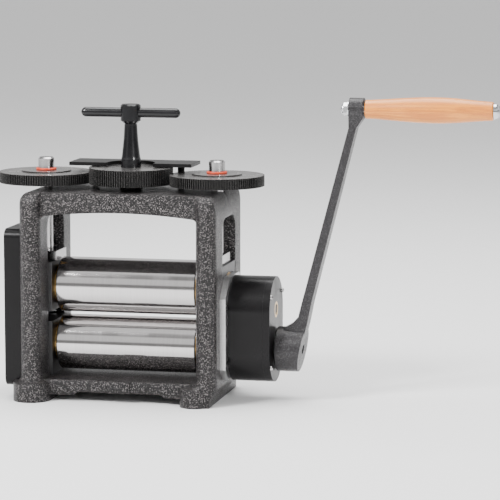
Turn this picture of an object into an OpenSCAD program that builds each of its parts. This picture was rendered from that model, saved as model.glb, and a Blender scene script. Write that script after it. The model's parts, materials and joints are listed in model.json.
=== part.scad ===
// Hand-cranked flat rolling mill, used as a small etching press.
// X runs along the rolls towards the crank, Y runs to the back, Z is up.
// The origin is on the underside, midway between the four fixing holes.
// Millimetres. Exact bores and journals are cylinders; gears are involute.

/* [Rolls] */
// Diameter of both rolls
roll_dia = 62; // [54:1:66]
// Length of the polished roll face
roll_face = 160; // [120:1:200]
// Gap between the rolls at rest
roll_gap = 3.4; // [3.3:0.1:4]
// Diameter of the journals that run in the bushes
journal_dia = 30; // [24:1:32]
// Diameter of the stepped ends that carry the gears
gear_seat_dia = 22; // [18:1:23]
// Height of the lower roll's axis above the underside
axis_z = 58; // [57:1:60]

/* [Frame] */
// Height of the frame above the underside
frame_h = 233; // [226:1:280]
// Thickness of each cheek
cheek_t = 23.5; // [22:0.5:28]
// Depth of the cheeks between their round noses
frame_d = 117; // [100:1:140]
// Room between a roll's end and the cheek
end_room = 8.5; // [8:0.5:12]
// Width of the window that guides the bearing blocks
window_w = 64; // [64:1:72]
// Thickness of the bridge at its middle
bridge_t = 21; // [20:0.5:26]
// How much lower the bridge's underside is at its ends than at its middle
bridge_sag = 5; // [0:0.5:8]
// Height of metal above each window
roof_t = 28; // [26:1:32]
// Radius of the windows' upper corners
window_corner = 16; // [8:1:30]
// Height of the feet
foot_h = 21; // [18:1:24]
// Radius of the left foot's round noses
left_foot_r = 20.8; // [20:0.1:22]
// Radius of the right foot's round noses
right_foot_r = 17.5; // [17:0.1:19]
// How far the right foot is set in from its cheek, to clear the gearbox
right_foot_in = 13; // [12:0.5:14]
// Height of the beam's top face
beam_top = 24; // [22:0.5:25]
// Clear height under the beam
beam_gap = 11; // [8:0.5:14]
// Radius of the four fixing holes
fixing_r = 4.25; // [3:0.25:5]
// Depth of the fixing holes
fixing_depth = 16; // [12:1:18]

/* [Screws and top gears] */
// Diameter of the adjusting screws
screw_dia = 14; // [12:0.5:15]
// Distance from the cheek's inner face to the screw axis
screw_in = 10.05; // [9:0.05:12]
// Teeth of the centre gear
centre_teeth = 103; // [95:1:110]
// Teeth of each side gear
side_teeth = 116; // [108:1:124]
// Face width of the side gears
side_face = 12; // [10:0.5:13]
// Face width of the centre gear
centre_face = 18.5; // [17:0.5:22]
// Height of the gears above the bridge at rest
gear_lift = 6; // [5:0.5:8]
// Diameter of the round pins that top the screws
pin_dia = 18; // [16:1:20]
// Height of the pins above the side gears
pin_rise = 16; // [12:1:20]
// Diameter of the dial discs
dial_dia = 56; // [48:1:60]
// Thickness of the dial discs
dial_t = 1.5; // [1:0.5:4]

/* [T-handle] */
// Length of the bar
bar_len = 114; // [90:1:140]
// Diameter of the bar
bar_dia = 11; // [9:0.5:12]
// Height of the stem and head above the centre gear
stem_h = 70.5; // [60:0.5:90]
// Diameter of the head and of the stem's foot
head_dia = 22.5; // [20:0.5:26]
// Diameter of the stem's neck
neck_dia = 14.4; // [12:0.1:17]

/* [Stop plate] */
// Length of the plate over the gears
plate_len = 141; // [120:1:141]
// Depth of the plate
plate_d = 44; // [42:1:50]
// Thickness of the plate
plate_t = 4; // [3:0.5:6]
// Radius of the round notch for the stem
notch_r = 27; // [20:1:30]
// Diameter of the posts
post_dia = 8; // [6:0.5:8.5]

/* [Roll gears and their cover] */
// Teeth of each roll gear
roll_teeth = 20; // [18:1:22]
// Face width of the roll gears
roll_gear_face = 14; // [10:1:15]
// Outer width of the cover away from the cheek
cover_w = 22; // [21:1:26]
// Depth of the cover
cover_d = 100; // [96:1:110]
// Height of the cover's lower edge
cover_low = 13; // [8:0.5:19]
// Height of the cover's upper edge
cover_top = 190; // [180:1:196]
// Wall of the cover
cover_wall = 3; // [2:0.5:4]

/* [Reduction gearbox] */
// Module of the reduction gears
drive_module = 2; // [1.8:0.05:2.05]
// Teeth of the two pinions
pinion_teeth = 14; // [13:1:15]
// Teeth of the two wheels
wheel_teeth = 30; // [28:1:30]
// Outer radius of the housing's round ends
box_r = 37; // [36.5:0.5:40]
// Length of the housing ring
box_len = 39.5; // [39.5:0.5:50]
// Thickness of the end cover
box_cover_t = 8; // [6:0.5:12]
// Thickness of the mounting plate
mount_t = 6.5; // [5:0.5:10]
// Depth of the mounting plate
mount_d = 92; // [90:1:100]
// Diameter of the crank shaft
crank_shaft_dia = 16; // [14:1:18]
// Diameter of the countershaft
counter_dia = 12; // [10:1:13]

/* [Crank] */
// Throw of the crank
crank_throw = 268.5; // [200:0.5:320]
// Diameter of the hub
hub_dia = 50; // [44:1:54]
// Length of the hub
hub_len = 27.5; // [24:0.5:34]
// Outward lean of the arm between its root and its eye
arm_lean = 55; // [30:1:70]
// Thickness of the arm
arm_t = 10.5; // [8:0.5:14]
// Width of the arm at its root
arm_w = 22; // [18:1:26]
// Diameter of the eye
eye_dia = 25; // [22:1:30]
// Length of the grip
grip_len = 141; // [110:1:160]
// Largest diameter of the grip
grip_dia = 28.5; // [24:0.5:34]
// Diameter of the grip's ends
grip_end_dia = 20.5; // [17:0.5:23]
// Diameter of the grip's bolt
grip_bolt_dia = 8; // [6:0.5:10]

/* [Fits] */
// Radial running clearance of every shaft
run = 0.05; // [0.03:0.01:0.09]
// Clearance of the sliding bearing blocks on each side
slide = 0.15; // [0.1:0.05:0.3]
// Thinning of each gear tooth, for backlash
backlash = 0.12; // [0.08:0.01:0.2]

/* [Hidden] */
$fn = 96;
one = 1;                 // overrun of a cut past the face that it leaves
sides = [-1, 1];

// Frame
cheek_in = roll_face / 2 + end_room;
cheek_out = cheek_in + cheek_t;
cheek_mid = cheek_in + cheek_t / 2;
cheek_low = beam_top;                    // floor of the windows
window_r = window_w / 2;
window_top = frame_h - roof_t;           // top of the windows
bridge_low = frame_h - bridge_t;
right_foot_x = cheek_mid - right_foot_in;
right_foot_out = right_foot_x + right_foot_r;
left_foot_out = cheek_mid + left_foot_r;
step_low = 8;                            // the right side slopes out from this height
step_high = foot_h - 1;                  // to this one
corner_x = 9;                            // rounding of the cheeks' outer shoulders
corner_z = 24;
dome_z = 27;                             // height of the rounding over each nose
fixing_x = cheek_mid - 8.25;
fixing_y = 50;

// Rolls and bearings
axis_gap = roll_dia + roll_gap;          // between the roll axes at rest
upper_z = axis_z + axis_gap;
block_in = cheek_in - 4.5;               // inner face of the bearing blocks
block_rise = 28.6;                       // block above the axis
block_drop = 27;                         // block below the axis
bush_dia = journal_dia + 8;
flange_dia = journal_dia + 14;
flange_in = roll_face / 2 + 0.4;
pad_t = 11;                              // bright pad on the upper block
pad_d = 40;
pad_z = upper_z + block_rise;
screw_foot = pad_z + pad_t;
spring_y = 22;
spring_dia = 9;
wire_dia = 1.6;
spring_turns = 6;
pocket_dia = 12;
pocket_depth = 8;

// Top gears
screw_x = cheek_in + screw_in;
top_module = 2 * screw_x / (centre_teeth + side_teeth);
side_r = top_module * side_teeth / 2;
gear_z = frame_h + gear_lift;
side_top = gear_z + side_face;
centre_top = gear_z + centre_face;
pin_top = side_top + pin_rise;
nut_dia = screw_dia + 6;
nut_len = roof_t - 8;
pivot_dia = 12;
pivot_depth = 20;
pivot_head = 16;
pivot_head_t = 4;
pivot_play = 0.3;
hub_gap = 0.3;
ring_wire = 1.3;                         // radius of the O-ring's section

// Stop plate
stop_z = centre_top + 1;
stop_front = -5;
post_x = screw_x - side_r + 3.2;
post_y = 33;
post_spigot = 12;                        // into the bridge
plate_spigot = 2.5;                      // into the plate, from below

// Roll gears
roll_module = roll_dia / roll_teeth;
roll_gear_in = cheek_out + 3;
roll_gear_out = roll_gear_in + roll_gear_face;
ring_t = 1.2;
ring_rim = 3;
cover_out = cheek_out + cover_w;
cover_screw_y = cover_d / 2 - 8.5;
cover_screw_z = [axis_z - 13, upper_z - 8.4];
cover_boss = 8;
cover_room = 0.4;                        // gap round the cover in the foot's pocket
m4 = 4;

// Gearbox
mount_out = cheek_out + mount_t;
box_out = mount_out + box_len;
box_face = box_out + box_cover_t;
drive_gap = drive_module * (pinion_teeth + wheel_teeth) / 2;
counter_z = axis_z + drive_gap;
wheel_r = drive_module * wheel_teeth / 2;
stub = 0.8;                              // tooth height above the pitch circle
tip_room = 0.8;                          // wheel tip to housing wall
cavity_r = wheel_r + stub * drive_module + tip_room;
output_in = mount_out + 2.5;
output_face = 14;
output_out = output_in + output_face;
input_in = output_out + 5;
input_face = 12;
pilot_dia = 10;
pilot_len = 12;
end_bush_dia = crank_shaft_dia + 6;
end_bush_len = box_cover_t + 4;
counter_bush_dia = counter_dia + 6;
mount_low = 26;
mount_high = counter_z + 38;
mount_corner = 22;
mount_low_corner = 13;
mount_screw_y = mount_d / 2 - 4.5;
mount_screw_z = [45, 108];
box_screw_r = (cavity_r + box_r) / 2;
box_screw_angle = 30;
m3 = 3;

// Crank
hub_in = box_face + 1.5;
hub_out = hub_in + hub_len;
eye_z = axis_z + crank_throw;
eye_r = eye_dia / 2;
hub_lean = 6;                            // lean of the hub's end, at its top
hub_screw_dia = 6;
hub_screw_head = 11;
arm_foot_x = hub_out - 2;                // inner face of the arm at the hub
arm_foot_z = axis_z + hub_dia / 2 + 13;
eye_in = arm_foot_x + arm_lean;
eye_out = eye_in + 16;
grip_in = eye_out + 1;
grip_out = grip_in + grip_len;
bolt_bore = grip_bolt_dia + 2 * run;
washer_t = 1.6;
washer_dia = 18;
acorn_dia = 14;
acorn_h = 8.5;
bolt_head_dia = 17;
bolt_head_h = 7;

// ---- shared shapes ----

// Children drawn for the +X side, or mirrored to the -X side.
module on_side(s) {
  if (s < 0) mirror([1, 0, 0]) children();
  else children();
}

// A rod along X from x0 to x1.
module rod_x(x0, x1, d, y = 0, z = 0) {
  translate([x0, y, z]) rotate([0, 90, 0]) cylinder(d = d, h = x1 - x0);
}

// A rod along Z from z0 to z1.
module rod_z(z0, z1, d, x = 0, y = 0) {
  translate([x, y, z0]) cylinder(d = d, h = z1 - z0);
}

// An outline in X and Z, drawn through y0 to y1.
module plate_y(y0, y1) {
  translate([0, y1, 0]) rotate([90, 0, 0]) linear_extrude(y1 - y0) children();
}

// An outline in Y and Z, drawn through x0 to x1.
module plate_x(x0, x1) {
  translate([x0, 0, 0]) rotate([90, 0, 90]) linear_extrude(x1 - x0) children();
}

// A turned profile of [x, radius] points about an X axis at height z.
module turned_x(points, z = 0) {
  translate([0, 0, z]) rotate([0, 90, 0]) rotate_extrude()
    polygon([for (p = points) [p[1], p[0]]]);
}

// A turned profile of [z, radius] points about a Z axis.
module turned_z(points, x = 0) {
  translate([x, 0, 0]) rotate_extrude() polygon([for (p = points) [p[1], p[0]]]);
}

// Points of an arc about (cx, cy) with the two radii, from angle a to b.
function arc(cx, cy, rx, ry, a, b, steps = 8) =
  [for (i = [0:steps]) let (t = a + (b - a) * i / steps) [cx + rx * cos(t), cy + ry * sin(t)]];

// A rectangle with round corners, centred.
module round_rect(w, d, r) {
  square([w - 2 * r, d], center = true);
  square([w, d - 2 * r], center = true);
  for (x = sides, y = sides) translate([x * (w / 2 - r), y * (d / 2 - r)]) circle(r);
}

// A button-head screw along +Z, its shank below z = 0 and its head above.
// Rise is the head's height as a share of the shank's diameter.
module button_screw(d, shank, rise = 0.55) {
  head_r = 0.95 * d;
  head_h = rise * d;
  socket = 0.55 * d;
  difference() {
    union() {
      translate([0, 0, -shank]) cylinder(d = d, h = shank);
      rotate_extrude() polygon(concat([[0, 0], [head_r, 0], [head_r, 0.25 * head_h]],
        arc(0, 0.25 * head_h, head_r, 0.75 * head_h, 12, 84, 6), [[0, head_h]]));
    }
    translate([0, 0, 0.4 * head_h]) cylinder(d = socket, h = head_h, $fn = 6);
  }
}

// ---- gears ----

pressure = 20;
function involute(a) = tan(a) * 180 / PI - a;
function flank_angle(r, base_r, half, r_now) =
  half + involute(pressure) - involute(acos(min(1, base_r / max(r_now, base_r))));

// Outline of a spur gear whose first tooth points along angle turn.
function gear_points(m, teeth, top, root, turn = 0, steps = 4) =
  let (r = m * teeth / 2, base_r = r * cos(pressure), tip_r = r + top, low_r = r - root,
    half = 90 / teeth - backlash / 2 / r * 180 / PI,
    rise = [for (i = [0:steps]) let (r0 = max(low_r, base_r)) r0 + (tip_r - r0) * i / steps],
    radii = low_r < base_r - 0.01 ? concat([low_r], rise) : rise,
    n = len(radii) - 1)
  [for (k = [0:teeth - 1], side = [0, 1], i = [0:n])
    let (r_now = side == 0 ? radii[i] : radii[n - i],
      a = flank_angle(r, base_r, half, r_now),
      t = turn + 360 * k / teeth + (side == 0 ? -a : a))
    [r_now * cos(t), r_now * sin(t)]];

module gear_z_axis(m, teeth, top, root, z0, z1, turn, steps) {
  translate([0, 0, z0]) linear_extrude(z1 - z0)
    polygon(gear_points(m, teeth, top, root, turn, steps));
}

// A gear about an X axis at height z. Angle 0 of the outline points down.
module gear_x_axis(m, teeth, top, root, x0, x1, z, turn, steps) {
  translate([x0, 0, z]) rotate([0, 90, 0]) linear_extrude(x1 - x0)
    polygon(gear_points(m, teeth, top, root, turn, steps));
}

up = 180;                                // outline angle that points up

// ---- frame ----

module front_outline() {
  polygon(concat(
    [[-left_foot_out, 0], [right_foot_out, 0], [right_foot_out, step_low],
      [cheek_out, step_high]],
    arc(cheek_out - corner_x, frame_h - corner_z, corner_x, corner_z, 0, 90),
    arc(-cheek_out + corner_x, frame_h - corner_z, corner_x, corner_z, 90, 180),
    [[-cheek_out, frame_h / 2], [-left_foot_out, frame_h / 2]]));
}

module cheek_plan() {
  translate([cheek_in, -frame_d / 2]) square([cheek_t, frame_d]);
  for (s = sides) translate([cheek_mid, s * frame_d / 2]) circle(d = cheek_t);
}

// Plan of a foot: a bar with round ends, as long as the cheek.
module foot_plan(r) {
  square([2 * r, frame_d], center = true);
  for (y = sides) translate([0, y * frame_d / 2]) circle(r);
}

module both_feet() {
  translate([-cheek_mid, 0]) foot_plan(left_foot_r);
  translate([right_foot_x, 0]) foot_plan(right_foot_r);
}

// Opening that goes through a cheek, with round upper corners.
module window_outline() {
  r = window_corner;
  translate([-window_r, cheek_low]) square([window_w, window_top - r - cheek_low]);
  translate([r - window_r, cheek_low]) square([window_w - 2 * r, window_top - cheek_low]);
  for (y = sides) translate([y * (window_r - r), window_top - r]) circle(r);
}

cove_r = 8;
function cove(face) = concat([[face - one, foot_h - one], [face + cove_r, foot_h - one]],
  [for (a = [0:15:90]) [face + cove_r * (1 - sin(a)), foot_h + cove_r * (1 - cos(a))]],
  [[face - one, foot_h + cove_r]]);

// Hollow fillets where a cheek stands on its foot: round both noses and inside.
module cheek_coves() {
  for (turn = [0, 180]) translate([cheek_mid, 0, 0]) rotate([0, 0, turn])
    translate([0, frame_d / 2, 0]) rotate_extrude(angle = 180) polygon(cove(cheek_t / 2));
  translate([cheek_mid, 0, 0]) mirror([1, 0, 0])
    plate_y(-frame_d / 2, frame_d / 2) polygon(cove(cheek_t / 2));
}

module beam_outline() {
  low = beam_gap - 4;
  polygon([[-cheek_in - one, low], [-cheek_in + 35, low], [-cheek_in + 42, beam_gap],
    [cheek_in - 42, beam_gap], [cheek_in - 35, low], [cheek_in + one, low],
    [cheek_in + one, beam_top], [-cheek_in - one, beam_top]]);
}

// The bridge: an arched underside, with small hollow corners at the cheeks.
module bridge_outline() {
  r = 5;
  z = bridge_low - bridge_sag - r;
  span = cheek_in - r;
  polygon(concat([[cheek_in + one, z], [cheek_in + one, frame_h],
      [-cheek_in - one, frame_h], [-cheek_in - one, z], [-cheek_in, z]],
    [for (a = [0:15:75]) [-cheek_in + r * (1 - cos(a)), z + r * sin(a)]],
    [for (i = [-8:8]) [span * i / 8, bridge_low - bridge_sag * pow(i / 8, 2)]],
    [for (a = [75:-15:0]) [cheek_in - r * (1 - cos(a)), z + r * sin(a)]]));
}

// Side view of a cheek: its noses round over backwards at the top.
module cheek_side() {
  y = frame_d / 2;
  nose = cheek_t / 2;
  polygon(concat([[-y - nose - one - cove_r, 0], [y + nose + one + cove_r, 0],
      [y + nose + one + cove_r, frame_h / 2], [y + nose, frame_h / 2]],
    arc(y - 1, frame_h - dome_z, nose + 1, dome_z, 0, 90, 12),
    arc(1 - y, frame_h - dome_z, nose + 1, dome_z, 90, 180, 12),
    [[-y - nose, frame_h / 2], [-y - nose - one - cove_r, frame_h / 2]]));
}

lug_w = 25;
lug_out = 3;
bridge_d = frame_d;

module frame_casting() {
  color("#4b484a") difference() {
    union() {
      intersection() {
        union() {
          for (s = sides) on_side(s) linear_extrude(frame_h) cheek_plan();
          intersection() {
            for (s = sides) on_side(s) cheek_coves();
            linear_extrude(foot_h + cove_r) both_feet();
          }
        }
        plate_y(-frame_d, frame_d) front_outline();
        plate_x(-cheek_out - foot_h, cheek_out + foot_h) cheek_side();
      }
      linear_extrude(foot_h) both_feet();
      plate_y(-frame_d / 2, frame_d / 2) beam_outline();
      plate_y(-bridge_d / 2, bridge_d / 2) bridge_outline();
      translate([-lug_w / 2, -frame_d / 2 - lug_out, beam_gap])
        cube([lug_w, lug_out + one, beam_top - beam_gap]);
    }
    for (s = sides) on_side(s) {
      plate_x(cheek_in - one, cheek_out + one) window_outline();
      translate([cheek_in - cove_r - one, -window_r, cheek_low])
        cube([cove_r + 2 * one, window_w, foot_h + cove_r - cheek_low + one]);
      rod_z(window_top - one, window_top + nut_len, nut_dia, screw_x);
      rod_z(window_top, frame_h + one, screw_dia + 0.5, screw_x);
      for (y = sides) rod_z(-one, fixing_depth, 2 * fixing_r, fixing_x, y * fixing_y);
    }
    rod_z(frame_h - pivot_depth, frame_h + one, pivot_dia);
    for (s = sides) rod_z(frame_h - post_spigot, frame_h + one, m4, s * post_x, post_y);
    translate([-cheek_out - foot_h, -cover_d / 2 - cover_room, cover_low - cover_room])
      cube([foot_h, cover_d + 2 * cover_room, foot_h + cove_r]);
    for (y = sides, z = cover_screw_z)
      rod_x(-cheek_out - one, -cheek_out + 12, m4, y * cover_screw_y, z);
    for (y = sides, z = mount_screw_z)
      rod_x(cheek_out - 12, cheek_out + one, m4, y * mount_screw_y, z);
  }
}

// ---- bearings ----

module spring_pockets(z) {
  for (y = sides) rod_z(z, z + pocket_depth + one, pocket_dia, cheek_mid, y * spring_y);
}

module lower_block(s) {
  color("#8f9194") on_side(s) difference() {
    translate([block_in, -window_r, cheek_low])
      cube([cheek_out - block_in, window_w, axis_z + block_drop - cheek_low]);
    rod_x(block_in - one, cheek_out + one, bush_dia, 0, axis_z);
    spring_pockets(axis_z + block_drop - pocket_depth);
  }
}
module lower_block_left() { lower_block(-1); }
module lower_block_right() { lower_block(1); }

module bush(s, z) {
  color("#b5803f") on_side(s) difference() {
    union() {
      rod_x(flange_in, block_in, flange_dia, 0, z);
      rod_x(block_in, cheek_out - 0.2, bush_dia, 0, z);
    }
    rod_x(flange_in - one, cheek_out + one, journal_dia + 2 * run, 0, z);
  }
}
module lower_bush_left() { bush(-1, axis_z); }
module lower_bush_right() { bush(1, axis_z); }
module upper_bush_left() { bush(-1, upper_z); }
module upper_bush_right() { bush(1, upper_z); }

module upper_block(s) {
  w = window_r - slide;
  color("#8f9194") on_side(s) difference() {
    translate([block_in, -w, upper_z - block_drop])
      cube([cheek_out - 0.2 - block_in, 2 * w, block_drop + block_rise]);
    rod_x(block_in - one, cheek_out + one, bush_dia, 0, upper_z);
    spring_pockets(upper_z - block_drop - one);
  }
}
module upper_block_left() { upper_block(-1); }
module upper_block_right() { upper_block(1); }

module pressure_pad(s) {
  color("#c3c5c8") on_side(s)
    translate([block_in - 2, -pad_d / 2, pad_z]) cube([cheek_out - 1 - block_in, pad_d, pad_t]);
}
module pressure_pad_left() { pressure_pad(-1); }
module pressure_pad_right() { pressure_pad(1); }

// A closed coil spring: rings of points along a helix, joined and capped.
spring_sides = 8;
spring_steps = 12;
module coil(z0, z1) {
  n = spring_turns * spring_steps;
  r = wire_dia / 2;
  rise = (z1 - z0 - wire_dia) / n;
  ring = [for (i = [0:n], k = [0:spring_sides - 1])
    let (t = 360 * i / spring_steps, a = 360 * k / spring_sides, d = spring_dia / 2 + r * cos(a))
    [d * cos(t), d * sin(t), z0 + r + i * rise + r * sin(a)]];
  skin = [for (i = [0:n - 1], k = [0:spring_sides - 1])
    let (a = i * spring_sides + k, b = i * spring_sides + (k + 1) % spring_sides)
    [a, a + spring_sides, b + spring_sides, b]];
  caps = [[for (k = [0:spring_sides - 1]) k],
    [for (k = [spring_sides - 1:-1:0]) n * spring_sides + k]];
  polyhedron(ring, concat(skin, caps));
}

module lift_springs(s) {
  seat = 0.05;
  color("#9a9da0") on_side(s) for (y = sides) translate([cheek_mid, y * spring_y, 0])
    coil(axis_z + block_drop - pocket_depth + seat, upper_z - block_drop + pocket_depth - seat);
}
module lift_springs_left() { lift_springs(-1); }
module lift_springs_right() { lift_springs(1); }

// ---- rolls and their gears ----

chamfer = 1;
function roll_profile(left_x, right) = concat(
  [[left_x, 0], [left_x, gear_seat_dia / 2 - chamfer], [left_x + chamfer, gear_seat_dia / 2],
    [-cheek_out - 0.5, gear_seat_dia / 2], [-cheek_out - 0.5, journal_dia / 2],
    [-roll_face / 2, journal_dia / 2], [-roll_face / 2, roll_dia / 2 - chamfer],
    [-roll_face / 2 + chamfer, roll_dia / 2], [roll_face / 2 - chamfer, roll_dia / 2],
    [roll_face / 2, roll_dia / 2 - chamfer], [roll_face / 2, journal_dia / 2]], right);

roll_end_left = -(roll_gear_out + 0.2 + ring_t + 0.3);

module upper_roll() {
  end = cheek_out - 2;
  color("#d5d7da") turned_x(roll_profile(roll_end_left,
    [[end - chamfer, journal_dia / 2], [end, journal_dia / 2 - chamfer], [end, 0]]), upper_z);
}

module lower_roll() {
  seat = gear_seat_dia / 2 + 1;
  color("#d5d7da") difference() {
    turned_x(roll_profile(roll_end_left,
      [[mount_out, journal_dia / 2], [mount_out, seat], [output_out + 1, seat],
        [output_out + 1, 0]]), axis_z);
    rod_x(output_out + 1 - pilot_len, output_out + 2, pilot_dia + 2 * run, 0, axis_z);
  }
}

module roll_gear(z, turn) {
  color("#5a5c60") difference() {
    gear_x_axis(roll_module, roll_teeth, roll_module, 1.2 * roll_module,
      -roll_gear_out, -roll_gear_in, z, turn, 5);
    rod_x(-roll_gear_out - one, -roll_gear_in + one, gear_seat_dia, 0, z);
  }
}
module lower_roll_gear() { roll_gear(axis_z, up); }
module upper_roll_gear() { roll_gear(upper_z, 180 / roll_teeth); }

module gear_ring(z) {
  out = -roll_gear_out - 0.2;
  color("#77797c") difference() {
    rod_x(out - ring_t, out, gear_seat_dia + 2 * ring_rim, 0, z);
    rod_x(out - ring_t - one, out + one, gear_seat_dia, 0, z);
  }
}
module lower_gear_ring() { gear_ring(axis_z); }
module upper_gear_ring() { gear_ring(upper_z); }

module cover_bosses(d, x0, x1) {
  for (y = sides, z = cover_screw_z) rod_x(x0, x1, d, y * cover_screw_y, z);
}

module roll_gear_cover() {
  mid = (cover_low + cover_top) / 2;
  high = cover_top - cover_low;
  color("#2b2a2b") difference() {
    union() {
      difference() {
        plate_x(-cover_out, -cheek_out) translate([0, mid]) round_rect(cover_d, high, 10);
        plate_x(-cover_out + cover_wall, -cheek_out + one) translate([0, mid])
          round_rect(cover_d - 2 * cover_wall, high - 2 * cover_wall, 10 - cover_wall);
      }
      cover_bosses(cover_boss, -cover_out + 1, -cheek_out);
    }
    cover_bosses(m4, -cover_out - one, -cheek_out + one);
  }
}

module cover_screws() {
  color("#1b1b1c") for (y = sides, z = cover_screw_z)
    translate([-cover_out, y * cover_screw_y, z]) rotate([0, -90, 0])
      button_screw(m4, cover_w + 10);
}

// ---- reduction gearbox ----

module mount_outline() {
  c = mount_corner;
  e = mount_low_corner;
  y = mount_d / 2;
  polygon([[-y, mount_low + e], [-y + e, mount_low], [y - e, mount_low],
    [y, mount_low + e], [y, mount_high - c], [y - c, mount_high],
    [-y + c, mount_high], [-y, mount_high - c]]);
}

module mounting_plate() {
  color("#b9bbbd") difference() {
    plate_x(cheek_out, mount_out) mount_outline();
    rod_x(cheek_out - one, mount_out + one, journal_dia + 1, 0, axis_z);
    rod_x(cheek_out - one, mount_out + one, counter_bush_dia, 0, counter_z);
    for (y = sides, z = mount_screw_z)
      rod_x(cheek_out - one, mount_out + one, m4, y * mount_screw_y, z);
  }
}

module mounting_screws() {
  color("#1b1b1c") for (y = sides, z = mount_screw_z)
    translate([mount_out, y * mount_screw_y, z]) rotate([0, 90, 0])
      button_screw(m4, mount_t + 10);
}

module box_outline(r) {
  translate([0, axis_z]) circle(r);
  translate([0, counter_z]) circle(r);
  translate([-r, axis_z]) square([2 * r, drive_gap]);
}

// Places its children at the four screws around the housing's ends.
module at_box_screws() {
  for (y = sides, end = [0, 1]) {
    z = end == 0 ? axis_z - box_screw_r * sin(box_screw_angle)
      : counter_z + box_screw_r * sin(box_screw_angle);
    translate([0, y * box_screw_r * cos(box_screw_angle), z]) children();
  }
}

module gearbox_housing() {
  color("#232325") difference() {
    plate_x(mount_out, box_out) box_outline(box_r);
    plate_x(mount_out - one, box_out + one) box_outline(cavity_r);
    at_box_screws() rod_x(box_out - 12, box_out + one, m3);
  }
}

module gearbox_end_cover() {
  color("#232325") difference() {
    plate_x(box_out, box_face) box_outline(box_r);
    rod_x(box_out - one, box_face + one, end_bush_dia, 0, axis_z);
    rod_x(box_out - one, box_face + one, counter_bush_dia, 0, counter_z);
    at_box_screws() rod_x(box_out - one, box_face + one, m3);
  }
}

module gearbox_screws() {
  color("#5d5e60") at_box_screws() translate([box_face, 0, 0]) rotate([0, 90, 0])
    button_screw(m3, box_cover_t + 10, 0.9);
}

module sleeve_x(x0, x1, outer, inner, z) {
  difference() {
    rod_x(x0, x1, outer, 0, z);
    rod_x(x0 - one, x1 + one, inner + 2 * run, 0, z);
  }
}

module crank_bush() {
  color("#b5803f") sleeve_x(box_face - end_bush_len, box_face, end_bush_dia, crank_shaft_dia, axis_z);
}
module counter_bush_outer() {
  color("#b5803f") sleeve_x(box_out, box_face, counter_bush_dia, counter_dia, counter_z);
}
module counter_bush_inner() {
  color("#b5803f") sleeve_x(cheek_out, mount_out, counter_bush_dia, counter_dia, counter_z);
}

module drive_gear(teeth, x0, x1, z, turn) {
  gear_x_axis(drive_module, teeth, stub * drive_module, (stub + 0.25) * drive_module,
    x0, x1, z, turn, 4);
}

module output_wheel() {
  color("#6b6d70") difference() {
    drive_gear(wheel_teeth, output_in, output_out, axis_z, up + 180 / wheel_teeth);
    rod_x(output_in - one, output_out + one, gear_seat_dia + 2, 0, axis_z);
  }
}

module countershaft() {
  color("#8a8c8f") union() {
    rod_x(cheek_out + 0.5, box_face - 0.5, counter_dia, 0, counter_z);
    drive_gear(pinion_teeth, output_in - 1, output_out + 1, counter_z, 0);
  }
}

module counter_wheel() {
  color("#6b6d70") difference() {
    drive_gear(wheel_teeth, input_in, input_in + input_face, counter_z, 180 / wheel_teeth);
    rod_x(input_in - one, input_in + input_face + one, counter_dia, 0, counter_z);
  }
}

// ---- crank ----

module crank_shaft() {
  pilot_in = output_out + 1 - pilot_len + 1;
  body_in = output_out + 2;
  color("#8a8c8f") difference() {
    union() {
      rod_x(pilot_in, body_in + one, pilot_dia, 0, axis_z);
      rod_x(body_in, hub_out - 6, crank_shaft_dia, 0, axis_z);
      drive_gear(pinion_teeth, input_in - 1, input_in + input_face + 1, axis_z, up);
    }
    rod_x(hub_out - 21, hub_out - 5, hub_screw_dia, 0, axis_z);
  }
}

// Side view of the arm in X and Z: a leaning bar that swells at both ends.
module arm_side() {
  outer = arm_t * 1.02;
  top = eye_z - eye_r;
  polygon([[hub_out - 14, axis_z], [hub_out, axis_z], [arm_foot_x + outer - 1, arm_foot_z - 9],
    [arm_foot_x + outer + 4, arm_foot_z + 16], [eye_out - 7.5, top - 8], [eye_out, top + 3],
    [eye_out, eye_z + eye_r + one], [eye_in, eye_z + eye_r + one], [eye_in, top - 8],
    [arm_foot_x + 4, arm_foot_z + 16], [arm_foot_x, arm_foot_z], [arm_foot_x - 7, arm_foot_z - 8],
    [hub_in + 9, axis_z + hub_dia / 2 - 0.5]]);
}

// End view of the arm in Y and Z: straight sides between hub and eye.
module arm_end() {
  w0 = arm_w / 2;
  w1 = arm_w / 2 - 2;
  polygon([[-w0, axis_z], [w0, axis_z], [w0, arm_foot_z], [w1, eye_z - eye_r - 4],
    [eye_r * 0.9, eye_z - eye_r * 0.4], [-eye_r * 0.9, eye_z - eye_r * 0.4],
    [-w1, eye_z - eye_r - 4], [-w0, arm_foot_z]]);
  translate([0, eye_z]) circle(d = eye_dia);
}

// Side view of the hub: its outer end leans outward, in line with the arm.
module hub_side() {
  r = hub_dia / 2 + one;
  polygon([[hub_in, axis_z - r], [hub_out - 3, axis_z - r],
    [hub_out + hub_lean, axis_z + r], [hub_in, axis_z + r]]);
}

module crank_arm() {
  color("#55544f") difference() {
    union() {
      intersection() {
        turned_x([[hub_in, 0], [hub_in, hub_dia / 2 - 1.5], [hub_in + 1.5, hub_dia / 2],
          [hub_out + hub_lean, hub_dia / 2], [hub_out + hub_lean, 0]], axis_z);
        plate_y(-hub_dia, hub_dia) hub_side();
      }
      intersection() {
        plate_y(-eye_dia, eye_dia) arm_side();
        plate_x(hub_in, eye_out) arm_end();
      }
    }
    rod_x(hub_in - one, hub_out - 6, crank_shaft_dia, 0, axis_z);
    rod_x(hub_out - 7, hub_out - 3, hub_screw_dia, 0, axis_z);
    rod_x(hub_out - 3, hub_out + hub_lean + one, hub_screw_head, 0, axis_z);
    rod_x(eye_in - one, eye_out + one, grip_bolt_dia, 0, eye_z);
  }
}

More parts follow.
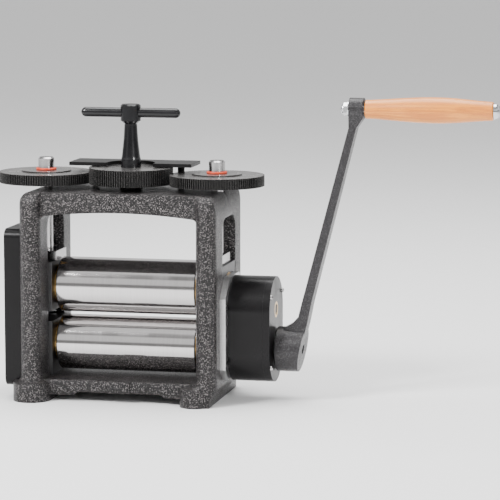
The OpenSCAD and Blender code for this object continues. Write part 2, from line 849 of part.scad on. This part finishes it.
// Screw in the shaft's end that holds the crank on, sunk in the hub.
module crank_end_screw() {
  in = hub_out - 3;
  color("#1b1b1c") difference() {
    union() {
      rod_x(in - 18, in, hub_screw_dia, 0, axis_z);
      rod_x(in, in + 3, hub_screw_head - 1, 0, axis_z);
    }
    translate([in + 1, 0, axis_z]) rotate([0, 90, 0]) cylinder(d = 5, h = 3, $fn = 6);
  }
}

module grip_bolt() {
  r = bolt_head_dia / 2;
  h = bolt_head_h;
  out = grip_out + 0.5;
  color("#3a3a3c") union() {
    rod_x(eye_in - washer_t - acorn_h + 3, out, grip_bolt_dia, 0, eye_z);
    turned_x(concat([[out, 0], [out, r]], [for (a = [0:15:90]) [out + 1.5 + (h - 1.5) * sin(a),
      r * cos(a)]]), eye_z);
  }
}

module grip_washer() {
  color("#c8cacc") difference() {
    rod_x(eye_in - washer_t, eye_in, washer_dia, 0, eye_z);
    rod_x(eye_in - washer_t - one, eye_in + one, grip_bolt_dia, 0, eye_z);
  }
}

module acorn_nut() {
  out = eye_in - washer_t;
  hex_h = 5;
  dome = acorn_dia / 2 - 1;
  color("#c8cacc") difference() {
    union() {
      translate([out - hex_h, 0, eye_z]) rotate([0, 90, 0]) cylinder(d = acorn_dia, h = hex_h, $fn = 6);
      turned_x(concat([[out - hex_h, 0]], [for (a = [0:15:90])
        [out - hex_h - (acorn_h - hex_h) * sin(a), dome * cos(a)]]), eye_z);
    }
    rod_x(out - acorn_h + 3, out + one, grip_bolt_dia, 0, eye_z);
  }
}

// The turned grip: a slim neck, a full belly past its middle, a round end.
belly = 0.55;
grip_ease = 0.72;
function grip_radius(u) = let (w = u < belly ? u / belly : (1 - u) / (1 - belly))
  grip_end_dia / 2 + (grip_dia - grip_end_dia) / 2 * pow(sin(90 * w), 2 * grip_ease);

module wooden_grip() {
  steps = 24;
  round = 2;
  color("#c98a4b") difference() {
    turned_x(concat([[grip_in, 0], [grip_in, grip_end_dia / 2 - round]],
      [for (i = [0:steps]) let (u = i / steps) [grip_in + round / 2 + (grip_len - round) * u, grip_radius(u)]],
      [[grip_out, grip_end_dia / 2 - round], [grip_out, 0]]), eye_z);
    rod_x(grip_in - one, grip_out + one, bolt_bore, 0, eye_z);
  }
}

// ---- top gears and handle ----

top_add = 0.8 * top_module;
top_root = 1.1 * top_module;
centre_odd = centre_teeth % 2 == 1;

module screw_nut(s) {
  color("#b5803f") on_side(s) translate([screw_x, 0, 0]) difference() {
    rod_z(window_top, window_top + nut_len, nut_dia);
    rod_z(window_top - one, frame_h, screw_dia + 2 * run);
  }
}
module screw_nut_left() { screw_nut(-1); }
module screw_nut_right() { screw_nut(1); }

module gear_pivot() {
  head = centre_top + pivot_play;
  color("#77797c") union() {
    rod_z(frame_h - pivot_depth, head + one, pivot_dia);
    rod_z(head, head + pivot_head_t, pivot_head);
  }
}

module centre_gear() {
  color("#38383a") difference() {
    union() {
      gear_z_axis(top_module, centre_teeth, top_add, top_root, gear_z, centre_top, 0, 1);
      rod_z(frame_h + hub_gap, gear_z + one, head_dia + 2.5);
    }
    rod_z(frame_h, centre_top + one, pivot_dia + 2 * run);
  }
}

module t_stem() {
  top = centre_top + stem_h;
  r = head_dia / 2;
  neck = neck_dia / 2;
  color("#1f1f21") difference() {
    turned_z([[centre_top, 0], [centre_top, r], [centre_top + 8, r], [centre_top + 12, r - 1],
      [centre_top + 30, neck + 1], [centre_top + 46, neck], [top - 22, neck], [top - 18.5, r],
      [top - 1.5, r], [top, r - 1.5], [top, 0]]);
    rod_z(centre_top - one, centre_top + pivot_play + pivot_head_t + 1, pivot_head + 1);
    rod_x(-head_dia, head_dia, bar_dia, 0, top - 9.5);
  }
}

module t_bar() {
  r = bar_dia / 2;
  end = bar_len / 2;
  color("#1f1f21") turned_x(concat(
    [for (a = [0:15:90]) [-end + r * (1 - sin(90 - a)), r * sin(a)]],
    [for (a = [90:-15:0]) [end - r * (1 - sin(90 - a)), r * sin(a)]]), centre_top + stem_h - 9.5);
}

module adjusting_screw(s) {
  color("#b4b6b9") on_side(s) turned_z([[screw_foot, 0], [screw_foot, screw_dia / 2],
    [gear_z, screw_dia / 2], [gear_z, pin_dia / 2], [pin_top - 1.5, pin_dia / 2],
    [pin_top, pin_dia / 2 - 1.5], [pin_top, 0]], screw_x);
}
module adjusting_screw_left() { adjusting_screw(-1); }
module adjusting_screw_right() { adjusting_screw(1); }

// A side gear; turn sets a tooth or a gap towards the centre gear.
module side_gear(x, turn) {
  color("#38383a") translate([x, 0, 0]) difference() {
    gear_z_axis(top_module, side_teeth, top_add, top_root, gear_z, side_top, turn, 1);
    rod_z(gear_z - one, side_top + one, pin_dia);
  }
}
module side_gear_left() { side_gear(-screw_x, centre_odd ? 0 : 180 / side_teeth); }
module side_gear_right() { side_gear(screw_x, 180 + 180 / side_teeth); }

module dial(s) {
  r = dial_dia / 2;
  color("#3f3f42") on_side(s) translate([screw_x, 0, 0]) difference() {
    turned_z([[side_top, 0], [side_top, r], [side_top + dial_t - 0.5, r],
      [side_top + dial_t, r - 0.5], [side_top + dial_t, 0]]);
    rod_z(side_top - one, side_top + dial_t + one, pin_dia);
  }
}
module dial_left() { dial(-1); }
module dial_right() { dial(1); }

module o_ring(s) {
  color("#c8502a") on_side(s) translate([screw_x, 0, side_top + dial_t + ring_wire])
    rotate_extrude() translate([pin_dia / 2 + ring_wire + 0.02, 0]) circle(r = ring_wire, $fn = 32);
}
module o_ring_left() { o_ring(-1); }
module o_ring_right() { o_ring(1); }

// ---- stop plate ----

module stop_plate() {
  color("#c9cbcd") difference() {
    translate([-plate_len / 2, stop_front, stop_z]) cube([plate_len, plate_d, plate_t]);
    rod_z(stop_z - one, stop_z + plate_t + one, 2 * notch_r);
    for (s = sides) rod_z(stop_z - one, stop_z + plate_spigot, m4, s * post_x, post_y);
  }
}

// Each post has a spigot at both ends.
module stop_plate_posts() {
  color("#232325") for (s = sides) translate([s * post_x, post_y, 0]) {
    rod_z(frame_h, stop_z, post_dia);
    rod_z(frame_h - post_spigot + 1, stop_z + plate_spigot, m4);
  }
}

frame_casting();
lower_block_left();
lower_block_right();
lower_bush_left();
lower_bush_right();
screw_nut_left();
screw_nut_right();
gear_pivot();
stop_plate();
stop_plate_posts();
roll_gear_cover();
cover_screws();
mounting_plate();
mounting_screws();
gearbox_housing();
gearbox_end_cover();
gearbox_screws();
crank_bush();
counter_bush_outer();
counter_bush_inner();
lift_springs_left();
lift_springs_right();
upper_block_left();
upper_block_right();
upper_bush_left();
upper_bush_right();
pressure_pad_left();
pressure_pad_right();
upper_roll();
upper_roll_gear();
upper_gear_ring();
lower_roll();
lower_roll_gear();
lower_gear_ring();
output_wheel();
countershaft();
counter_wheel();
crank_shaft();
crank_arm();
crank_end_screw();
grip_bolt();
grip_washer();
acorn_nut();
wooden_grip();
centre_gear();
t_stem();
t_bar();
adjusting_screw_left();
side_gear_left();
dial_left();
o_ring_left();
adjusting_screw_right();
side_gear_right();
dial_right();
o_ring_right();
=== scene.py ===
"""Looks of a hand-cranked flat rolling mill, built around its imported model."""
import json
import math

import bmesh
import bpy
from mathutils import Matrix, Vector


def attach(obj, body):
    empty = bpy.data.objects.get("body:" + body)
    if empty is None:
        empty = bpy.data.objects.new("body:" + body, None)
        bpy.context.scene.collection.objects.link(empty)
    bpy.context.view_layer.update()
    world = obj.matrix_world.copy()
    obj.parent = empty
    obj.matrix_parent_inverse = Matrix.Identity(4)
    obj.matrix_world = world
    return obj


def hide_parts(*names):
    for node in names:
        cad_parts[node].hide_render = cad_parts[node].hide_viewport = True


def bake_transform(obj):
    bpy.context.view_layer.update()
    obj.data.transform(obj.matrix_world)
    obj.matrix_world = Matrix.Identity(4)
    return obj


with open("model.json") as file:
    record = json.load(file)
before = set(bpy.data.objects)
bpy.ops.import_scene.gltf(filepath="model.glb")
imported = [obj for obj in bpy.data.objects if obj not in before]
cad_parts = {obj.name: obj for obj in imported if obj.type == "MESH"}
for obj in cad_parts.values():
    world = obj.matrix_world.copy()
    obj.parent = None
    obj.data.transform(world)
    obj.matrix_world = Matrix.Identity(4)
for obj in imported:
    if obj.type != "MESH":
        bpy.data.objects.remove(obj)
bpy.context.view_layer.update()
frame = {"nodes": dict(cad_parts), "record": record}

MM = 0.001
nodes = frame["nodes"]
slot_of = {part["node"]: part["material_slot"] for part in frame["record"]["subparts"]}
body_of = {n: b for b, members in frame["record"]["behaviour"]["bodies"].items() for n in members}


# ---- camera ----

def place_camera():
    """A long lens, slightly to the crank's side and above, level with the horizon."""
    azimuth, elevation = math.radians(12.27), math.radians(7.51)
    distance = 2.91
    aim = Vector((0.1361, 0.0, 0.1677))
    away = Vector((math.sin(azimuth) * math.cos(elevation),
                   -math.cos(azimuth) * math.cos(elevation), math.sin(elevation)))
    data = bpy.data.cameras.new("camera")
    data.lens, data.sensor_width = 188.5, 36.0
    data.clip_end = 200.0
    camera = bpy.data.objects.new("camera", data)
    camera.location = aim + away * distance
    camera.rotation_euler = away.to_track_quat("Z", "Y").to_euler()
    bpy.context.scene.collection.objects.link(camera)
    bpy.context.scene.camera = camera


# ---- shader helpers ----

class Shader:
    """A short way to write node trees: each call adds a node and returns it."""

    def __init__(self, tree):
        self.tree = tree

    def add(self, kind, **settings):
        node = self.tree.nodes.new(kind)
        for name, value in settings.items():
            setattr(node, name, value)
        return node

    def link(self, source, target):
        self.tree.links.new(source, target)

    def feed(self, value, socket):
        if isinstance(value, bpy.types.NodeSocket):
            self.link(value, socket)
        else:
            socket.default_value = value

    def math(self, operation, a, b=0.0, clamp=False):
        node = self.add("ShaderNodeMath", operation=operation, use_clamp=clamp)
        self.feed(a, node.inputs[0])
        self.feed(b, node.inputs[1])
        return node.outputs[0]

    def range(self, value, low, high, to_low=0.0, to_high=1.0, smooth=True):
        node = self.add("ShaderNodeMapRange",
                        interpolation_type="SMOOTHSTEP" if smooth else "LINEAR")
        for socket, v in zip(node.inputs, (value, low, high, to_low, to_high)):
            self.feed(v, socket)
        return node.outputs[0]

    def mix(self, factor, a, b):
        node = self.add("ShaderNodeMix", data_type="RGBA")
        self.feed(factor, node.inputs[0])
        self.feed(a if isinstance(a, bpy.types.NodeSocket) else (*a, 1.0), node.inputs[6])
        self.feed(b if isinstance(b, bpy.types.NodeSocket) else (*b, 1.0), node.inputs[7])
        return node.outputs[2]

    def noise(self, vector, scale, detail=3.0, rough=0.5):
        node = self.add("ShaderNodeTexNoise")
        self.link(vector, node.inputs["Vector"])
        node.inputs["Scale"].default_value = scale
        node.inputs["Detail"].default_value = detail
        node.inputs["Roughness"].default_value = rough
        return node.outputs["Fac"]

    def stretched(self, vector, scale):
        node = self.add("ShaderNodeVectorMath", operation="MULTIPLY")
        self.link(vector, node.inputs[0])
        node.inputs[1].default_value = scale
        return node.outputs[0]


def new_group(name, inputs, outputs):
    """An empty shader group with named inputs and outputs; kinds are the first letters."""
    kinds = {"F": "NodeSocketFloat", "V": "NodeSocketVector", "C": "NodeSocketColor"}
    tree = bpy.data.node_groups.new(name, "ShaderNodeTree")
    for label, kind, value in inputs:
        socket = tree.interface.new_socket(label, in_out="INPUT", socket_type=kinds[kind])
        if value is not None:
            socket.default_value = value
    for label, kind in outputs:
        tree.interface.new_socket(label, in_out="OUTPUT", socket_type=kinds[kind])
    shader = Shader(tree)
    return tree, shader, shader.add("NodeGroupInput").outputs, shader.add("NodeGroupOutput").inputs


def make_hammertone():
    """Hammertone enamel: raised islands about a millimetre wide, some catching the light."""
    tree, s, put, out = new_group(
        "hammertone", [("Vector", "V", None), ("Cells", "F", 850.0)],
        [("Island", "F"), ("Fleck", "F"), ("Height", "F")])
    warp = s.noise(put["Vector"], 260.0, 2.0)
    shifted = s.add("ShaderNodeVectorMath", operation="MULTIPLY_ADD")
    s.link(warp, shifted.inputs[0])
    shifted.inputs[1].default_value = (0.0012, 0.0012, 0.0012)
    s.link(put["Vector"], shifted.inputs[2])
    cells = s.add("ShaderNodeTexVoronoi", feature="F1")
    s.link(shifted.outputs[0], cells.inputs["Vector"])
    s.link(put["Cells"], cells.inputs["Scale"])
    island = s.range(cells.outputs["Distance"], 0.15, 0.75, 1.0, 0.0)
    tilt = s.add("ShaderNodeSeparateColor")
    s.link(cells.outputs["Color"], tilt.inputs[0])
    grain = s.noise(put["Vector"], 1250.0, 2.0, 0.55)
    bright = s.range(tilt.outputs[0], 0.40, 1.0)
    fleck = s.math("MULTIPLY", bright, s.range(cells.outputs["Distance"], 0.68, 0.30))
    s.link(island, out["Island"])
    s.link(fleck, out["Fleck"])
    height = s.math("ADD", island, s.math("MULTIPLY", grain, 0.22))
    s.link(height, out["Height"])
    return tree


def make_tool_marks():
    """Fine parallel marks of grinding, turning or milling, with slow changes between them."""
    tree, s, put, out = new_group(
        "tool_marks", [("Vector", "V", None), ("Stretch", "V", (3000.0, 12.0, 12.0))],
        [("Marks", "F"), ("Drift", "F")])
    run = s.add("ShaderNodeVectorMath", operation="MULTIPLY")
    s.link(put["Vector"], run.inputs[0])
    s.link(put["Stretch"], run.inputs[1])
    marks = s.noise(run.outputs[0], 1.0, 4.0, 0.65)
    s.link(marks, out["Marks"])
    s.link(s.noise(put["Vector"], 18.0, 2.0), out["Drift"])
    return tree


def make_handling():
    """Where hands and oil have been: soft smears and a scatter of small dust."""
    tree, s, put, out = new_group(
        "handling", [("Vector", "V", None), ("Size", "F", 45.0)], [("Smear", "F"), ("Dust", "F")])
    smear = s.add("ShaderNodeTexNoise")
    s.link(put["Vector"], smear.inputs["Vector"])
    s.link(put["Size"], smear.inputs["Scale"])
    smear.inputs["Detail"].default_value = 5.0
    s.link(s.range(smear.outputs["Fac"], 0.38, 0.66), out["Smear"])
    s.link(s.range(s.noise(put["Vector"], 1500.0, 1.0), 0.64, 0.74), out["Dust"])
    return tree


def make_edge_sheen_and_wear():
    """Lighter corners from the true normal against a rounded one: a painted highlight along the
    edges where Even is high, and broken patches of finish rubbed thin.
    """
    tree, s, put, out = new_group(
        "edge_sheen_and_wear", [("Vector", "V", None), ("Radius", "F", 0.8 * MM), ("Amount", "F", 0.5),
                      ("Even", "F", 0.0)], [("Mask", "F")])
    rounded = s.add("ShaderNodeBevel", samples=4)
    s.link(put["Radius"], rounded.inputs["Radius"])
    dot = s.add("ShaderNodeVectorMath", operation="DOT_PRODUCT")
    s.link(rounded.outputs[0], dot.inputs[0])
    s.link(s.add("ShaderNodeNewGeometry").outputs["Normal"], dot.inputs[1])
    edge = s.range(dot.outputs["Value"], 0.97, 0.80)
    broken = s.range(s.noise(put["Vector"], 320.0, 4.0), 0.42, 0.62)
    # broken patches are rubbed wear; the Even share paints an unbroken highlight along every edge
    whole = s.math("MAXIMUM", broken, put["Even"])
    s.link(s.math("MULTIPLY", s.math("MULTIPLY", edge, whole), put["Amount"], True), out["Mask"])
    return tree


MAKERS = {"hammertone": make_hammertone, "tool_marks": make_tool_marks,
          "handling": make_handling, "edge_sheen_and_wear": make_edge_sheen_and_wear}
groups = {}


def use(s, name, vector, **values):
    """Places a shared group in a material with its own values."""
    if name not in groups:
        groups[name] = MAKERS[name]()
    node = s.add("ShaderNodeGroup")
    node.node_tree = groups[name]
    s.link(vector, node.inputs["Vector"])
    for label, value in values.items():
        node.inputs[label].default_value = value
    return node.outputs


def start_material(name):
    """A material with its Principled shader, and the piece's own coordinates."""
    material = bpy.data.materials.new(name)
    material.use_nodes = True
    s = Shader(material.node_tree)
    shader = material.node_tree.nodes["Principled BSDF"]
    return material, s, shader, s.add("ShaderNodeTexCoord").outputs["Object"]


def bump(s, shader, height, distance, rounding=0.0):
    """Relief on the surface, and corners that catch light as if rounded over."""
    node = s.add("ShaderNodeBump")
    node.inputs["Distance"].default_value = distance
    s.link(height, node.inputs["Height"])
    if rounding > 0:
        corner = s.add("ShaderNodeBevel", samples=6)
        corner.inputs["Radius"].default_value = rounding
        s.link(corner.outputs[0], node.inputs["Normal"])
    s.link(node.outputs[0], shader.inputs["Normal"])


# ---- finishes ----

def hammertone_enamel(name, low, high, fleck, amount, relief, rounding, metallic, gloss):
    """Enamel over a metal flake: dark between its islands, paler on them, flecks between."""
    material, s, shader, at = start_material(name)
    skin = use(s, "hammertone", at)
    touch = use(s, "handling", at, Size=30.0)
    colour = s.mix(skin["Island"], low, high)
    colour = s.mix(s.math("MULTIPLY", skin["Fleck"], amount), colour, fleck)
    s.link(colour, shader.inputs["Base Color"])
    rough = s.range(skin["Island"], 0.0, 1.0, 0.40, 0.22, False)
    smear = s.math("MULTIPLY", touch["Smear"], 0.08)
    s.link(s.math("ADD", rough, smear), shader.inputs["Roughness"])
    shader.inputs["Metallic"].default_value = metallic
    shader.inputs["Specular IOR Level"].default_value = gloss
    shader.inputs["Coat Weight"].default_value = 0.08
    shader.inputs["Coat Roughness"].default_value = 0.16
    bump(s, shader, skin["Height"], relief * MM, rounding * MM)
    return material


def metal(name, colour, rough, stretch, mark=0.10, metallic=1.0, depth=0.004, smear=0.06,
          coat=0.0, shine_and_wear=0.0, shine_and_worn_colour=(0.5, 0.5, 0.5), even_shine=0.0, gloss=0.5):
    """A worked metal: tool marks across it, smears on it, and optional lighter edges that are
    partly worn and partly a painted highlight.
    """
    material, s, shader, at = start_material(name)
    marks = use(s, "tool_marks", at, Stretch=stretch)
    touch = use(s, "handling", at)
    dark = tuple(0.82 * c for c in colour)
    base = s.mix(s.range(marks["Marks"], 0.3, 0.7), dark, colour)
    base = s.mix(s.math("MULTIPLY", marks["Drift"], 0.25), base, tuple(0.72 * c for c in colour))
    # lighter edges: partly rubbed wear, partly a painted highlight where the even share is high
    if shine_and_wear > 0:
        edge = use(s, "edge_sheen_and_wear", at, Amount=shine_and_wear, Even=even_shine)
        base = s.mix(edge["Mask"], base, shine_and_worn_colour)
    s.link(base, shader.inputs["Base Color"])
    value = s.math("MULTIPLY_ADD", marks["Marks"], mark)
    value.node.inputs[2].default_value = rough - mark / 2
    s.link(s.math("ADD", value, s.math("MULTIPLY", touch["Smear"], smear), True),
           shader.inputs["Roughness"])
    shader.inputs["Metallic"].default_value = metallic
    shader.inputs["Specular IOR Level"].default_value = gloss
    shader.inputs["Coat Weight"].default_value = coat
    shader.inputs["Coat Roughness"].default_value = 0.12
    bump(s, shader, marks["Marks"], depth * MM)
    return material


TURNED_X = (5000.0, 14.0, 14.0)      # rings round a piece turned about X
TURNED_Z = (14.0, 14.0, 5000.0)
DRAWN_X = (14.0, 2600.0, 2600.0)     # lines along X
EVEN = (900.0, 900.0, 900.0)


def black_gear():
    """Oxide-black teeth with a painted highlight along their edges, partly rubbed wear, under a
    flat face that the lathe has left lighter.
    """
    # the grey along every tooth edge is mostly a painted highlight, with some rubbed wear
    material = metal("gear_black", (0.006, 0.006, 0.006), 0.22, EVEN, 0.05, 0.0, 0.001,
                     shine_and_wear=1.0, shine_and_worn_colour=(0.15, 0.14, 0.135), even_shine=0.85, gloss=0.25)
    s = Shader(material.node_tree)
    shader = material.node_tree.nodes["Principled BSDF"]
    split = s.add("ShaderNodeSeparateXYZ")
    s.link(s.add("ShaderNodeNewGeometry").outputs["Normal"], split.inputs[0])
    face = s.range(split.outputs["Z"], 0.90, 0.99)
    old = shader.inputs["Base Color"].links[0].from_socket
    s.link(s.mix(face, old, (0.34, 0.33, 0.325)), shader.inputs["Base Color"])
    s.link(s.math("MULTIPLY", face, 0.9), shader.inputs["Metallic"])
    return material


def varnished_beech():
    """Orange-tan beech: grain along the grip, short dark ray flecks, a thin varnish."""
    material, s, shader, at = start_material("varnished_beech")
    long_grain = s.noise(s.stretched(at, (10.0, 420.0, 420.0)), 1.0, 5.0, 0.6)
    pores = s.noise(s.stretched(at, (90.0, 1900.0, 1900.0)), 1.0, 3.0, 0.6)
    broad = s.noise(s.stretched(at, (7.0, 70.0, 70.0)), 1.0, 2.0)
    colour = s.mix(s.range(long_grain, 0.35, 0.68), (0.60, 0.175, 0.016), (0.84, 0.30, 0.033))
    colour = s.mix(s.range(broad, 0.35, 0.7, 0.0, 0.5), colour, (0.70, 0.225, 0.022))
    fleck = s.range(pores, 0.60, 0.72)
    colour = s.mix(s.math("MULTIPLY", fleck, 0.65), colour, (0.26, 0.10, 0.03))
    s.link(colour, shader.inputs["Base Color"])
    s.link(s.range(long_grain, 0.3, 0.7, 0.42, 0.32), shader.inputs["Roughness"])
    shader.inputs["Coat Weight"].default_value = 0.2
    shader.inputs["Coat Roughness"].default_value = 0.28
    height = s.math("SUBTRACT", s.math("MULTIPLY", long_grain, 0.4), fleck)
    bump(s, shader, height, 0.05 * MM)
    return material


def red_rubber():
    """Deep red rubber, a little paler and duller where it has been handled."""
    material, s, shader, at = start_material("red_rubber")
    touch = use(s, "handling", at, Size=300.0)
    colour = s.mix(touch["Smear"], (0.50, 0.035, 0.010), (0.62, 0.070, 0.018))
    s.link(colour, shader.inputs["Base Color"])
    s.link(s.range(touch["Smear"], 0.0, 1.0, 0.42, 0.56), shader.inputs["Roughness"])
    bump(s, shader, touch["Dust"], 0.01 * MM)
    return material


def make_finishes():
    """One finish for each of the record's material slots."""
    return {
        "frame_paint": hammertone_enamel(
            "frame_paint", (0.003, 0.0026, 0.0027), (0.014, 0.012, 0.0125), (0.33, 0.30, 0.30),
            amount=0.55, relief=0.30, rounding=7.0, metallic=0.3, gloss=0.4),
        "machined_steel": metal("machined_steel", (0.10, 0.098, 0.10), 0.38, EVEN, 0.16),
        "roll_steel": metal("roll_steel", (0.66, 0.64, 0.635), 0.09, TURNED_X, 0.05, depth=0.0006,
                            smear=0.03),
        "bright_steel": metal("bright_steel", (0.50, 0.49, 0.49), 0.16, TURNED_Z, 0.06),
        "gear_black": black_gear(),
        "handle_black": metal("handle_black", (0.006, 0.006, 0.007), 0.16, DRAWN_X, 0.06, 0.0,
                              0.001, coat=0.1, gloss=0.3),
        "cover_black": metal("cover_black", (0.006, 0.0055, 0.006), 0.28, EVEN, 0.06, 0.0, 0.006,
                             gloss=0.18),
        "crank_grey": hammertone_enamel(
            "crank_grey", (0.018, 0.017, 0.018), (0.040, 0.038, 0.040), (0.17, 0.165, 0.17),
            amount=0.25, relief=0.10, rounding=1.2, metallic=0.15, gloss=0.25),
        "bronze": metal("bronze", (0.66, 0.43, 0.17), 0.26, TURNED_X, 0.14),
        "plate_aluminium": metal("plate_aluminium", (0.66, 0.66, 0.66), 0.32, (14.0, 14.0, 2600.0),
                                 0.18, depth=0.006),
        "screw_black": metal("screw_black", (0.006, 0.006, 0.007), 0.22, EVEN, 0.08, 0.0, 0.001),
        "ring_red": red_rubber(),
        "grip_wood": varnished_beech(),
        "spring_steel": metal("spring_steel", (0.50, 0.51, 0.53), 0.28, EVEN, 0.08),
        "nickel": metal("nickel", (0.74, 0.745, 0.76), 0.13, TURNED_X, 0.05, depth=0.001),
    }


# ---- shapes ----

SMOOTH_ANGLE = math.radians(32)      # steeper edges than this are shaded sharp
HARD_ANGLE = math.radians(35)        # and steeper ones than this are rounded over
FLAT_ANGLE = math.radians(0.4)       # faces this nearly level are joined into one
WELD = 0.002 * MM


def show(mesh_object, finish):
    """Gives an object its one finish."""
    mesh_object.data.materials.clear()
    mesh_object.data.materials.append(finish)


def smooth(mesh):
    """Smooth shading, with the real edges kept sharp."""
    for face in mesh.polygons:
        face.use_smooth = True
    mesh.set_sharp_from_angle(angle=SMOOTH_ANGLE)


def softened(node, width):
    """A copy of a CAD node with its flat faces joined up and its hard edges rounded over."""
    work = bmesh.new()
    work.from_mesh(nodes[node].data)
    bmesh.ops.remove_doubles(work, verts=work.verts, dist=WELD)
    bmesh.ops.dissolve_limit(work, angle_limit=FLAT_ANGLE, verts=work.verts,
                             edges=work.edges)
    hard = [e for e in work.edges if len(e.link_faces) == 2
            and e.calc_face_angle(0.0) > HARD_ANGLE]
    bmesh.ops.bevel(work, geom=hard, offset=width, offset_type="OFFSET", segments=2,
                    profile=0.5, affect="EDGES", clamp_overlap=True)
    mesh = bpy.data.meshes.new(node + "_finished")
    work.to_mesh(mesh)
    work.free()
    smooth(mesh)
    piece = bpy.data.objects.new(node + "_finished", mesh)
    bpy.context.scene.collection.objects.link(piece)
    show(piece, finishes[slot_of[node]])
    piece.modifiers.new("flat_faces_stay_flat", "WEIGHTED_NORMAL").keep_sharp = True
    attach(piece, body_of[node])
    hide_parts(node)
    return piece


def sprung(node):
    """A copy of a lift spring, baked in place of the hidden CAD node."""
    piece = bpy.data.objects.new(node + "_sprung", nodes[node].data.copy())
    bpy.context.scene.collection.objects.link(piece)
    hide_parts(node)
    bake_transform(piece)


# ---- stage ----

def build_sky():
    """White to the lens; in reflections a dim room with pale panels, side wings and ceiling."""
    world = bpy.data.worlds.new("studio")
    world.use_nodes = True
    s = Shader(world.node_tree)
    split = s.add("ShaderNodeSeparateXYZ")
    s.link(s.add("ShaderNodeTexCoord").outputs["Generated"], split.inputs[0])
    height = split.outputs["Z"]
    panels = s.math("MULTIPLY", s.range(height, 0.16, 0.24), s.range(height, 0.62, 0.52))
    ceiling = s.range(height, 0.74, 0.84)
    across = s.math("ABSOLUTE", split.outputs["X"])
    wings = s.math("MULTIPLY", s.range(across, 0.45, 0.50), s.range(across, 0.85, 0.80))
    wings = s.math("MULTIPLY", wings, s.range(height, 0.60, 0.50))
    pale = s.math("MAXIMUM", s.math("MAXIMUM", panels, ceiling), wings)
    dim, panel = 0.34, 0.75
    room = s.math("ADD", dim, s.math("MULTIPLY", pale, panel))
    seen = s.add("ShaderNodeLightPath").outputs["Is Camera Ray"]
    strength = s.math("ADD", s.math("MULTIPLY", s.math("SUBTRACT", 1.0, seen), room), seen)
    background = world.node_tree.nodes["Background"]
    background.inputs[0].default_value = (1.0, 1.0, 1.0, 1.0)
    s.link(strength, background.inputs[1])
    bpy.context.scene.world = world


def build_stage():
    """A plain pale floor and soft lights, each turned to the middle of the mill."""
    bpy.ops.mesh.primitive_circle_add(vertices=96, radius=60.0, fill_type="NGON")
    floor = bpy.context.object
    floor.name = "floor"
    material = bpy.data.materials.new("pale_floor")
    material.use_nodes = True
    shader = material.node_tree.nodes["Principled BSDF"]
    shader.inputs["Base Color"].default_value = (0.86, 0.86, 0.86, 1.0)
    shader.inputs["Roughness"].default_value = 0.75
    floor.data.materials.append(material)
    build_sky()
    middle = Vector((0.1, 0.0, 0.15))
    for name, place, size, power in (
            ("key", (-1.3, -1.6, 1.9), 0.7, 105.0),
            ("fill", (1.9, -1.5, 1.1), 0.5, 34.0),
            ("top", (0.1, 0.5, 2.2), 1.6, 70.0)):
        data = bpy.data.lights.new(name, "AREA")
        data.size, data.energy = size, power
        light = bpy.data.objects.new(name, data)
        light.location = place
        light.rotation_euler = (light.location - middle).to_track_quat("Z", "Y").to_euler()
        bpy.context.scene.collection.objects.link(light)


# ---- the mill ----

place_camera()
build_stage()
finishes = make_finishes()

for name, node in nodes.items():                # pieces that keep the CAD's own shape
    smooth(node.data)
    show(node, finishes[slot_of[name]])

for name, width in {                            # the width of the rounded edge, in mm
        "frame_casting": 1.2, "roll_gear_cover": 1.0, "gearbox_end_cover": 0.4,
        "gearbox_housing": 0.1, "mounting_plate": 0.5, "stop_plate": 0.5,
        "pressure_pad_left": 0.5, "pressure_pad_right": 0.5,
        "upper_block_left": 0.4, "upper_block_right": 0.4,
        "crank_arm": 1.6, "centre_gear": 0.18, "side_gear_left": 0.18,
        "side_gear_right": 0.18,
        "acorn_nut": 0.4, "t_stem": 0.4}.items():
    softened(name, width * MM)

for side in ("left", "right"):
    sprung("lift_springs_" + side)
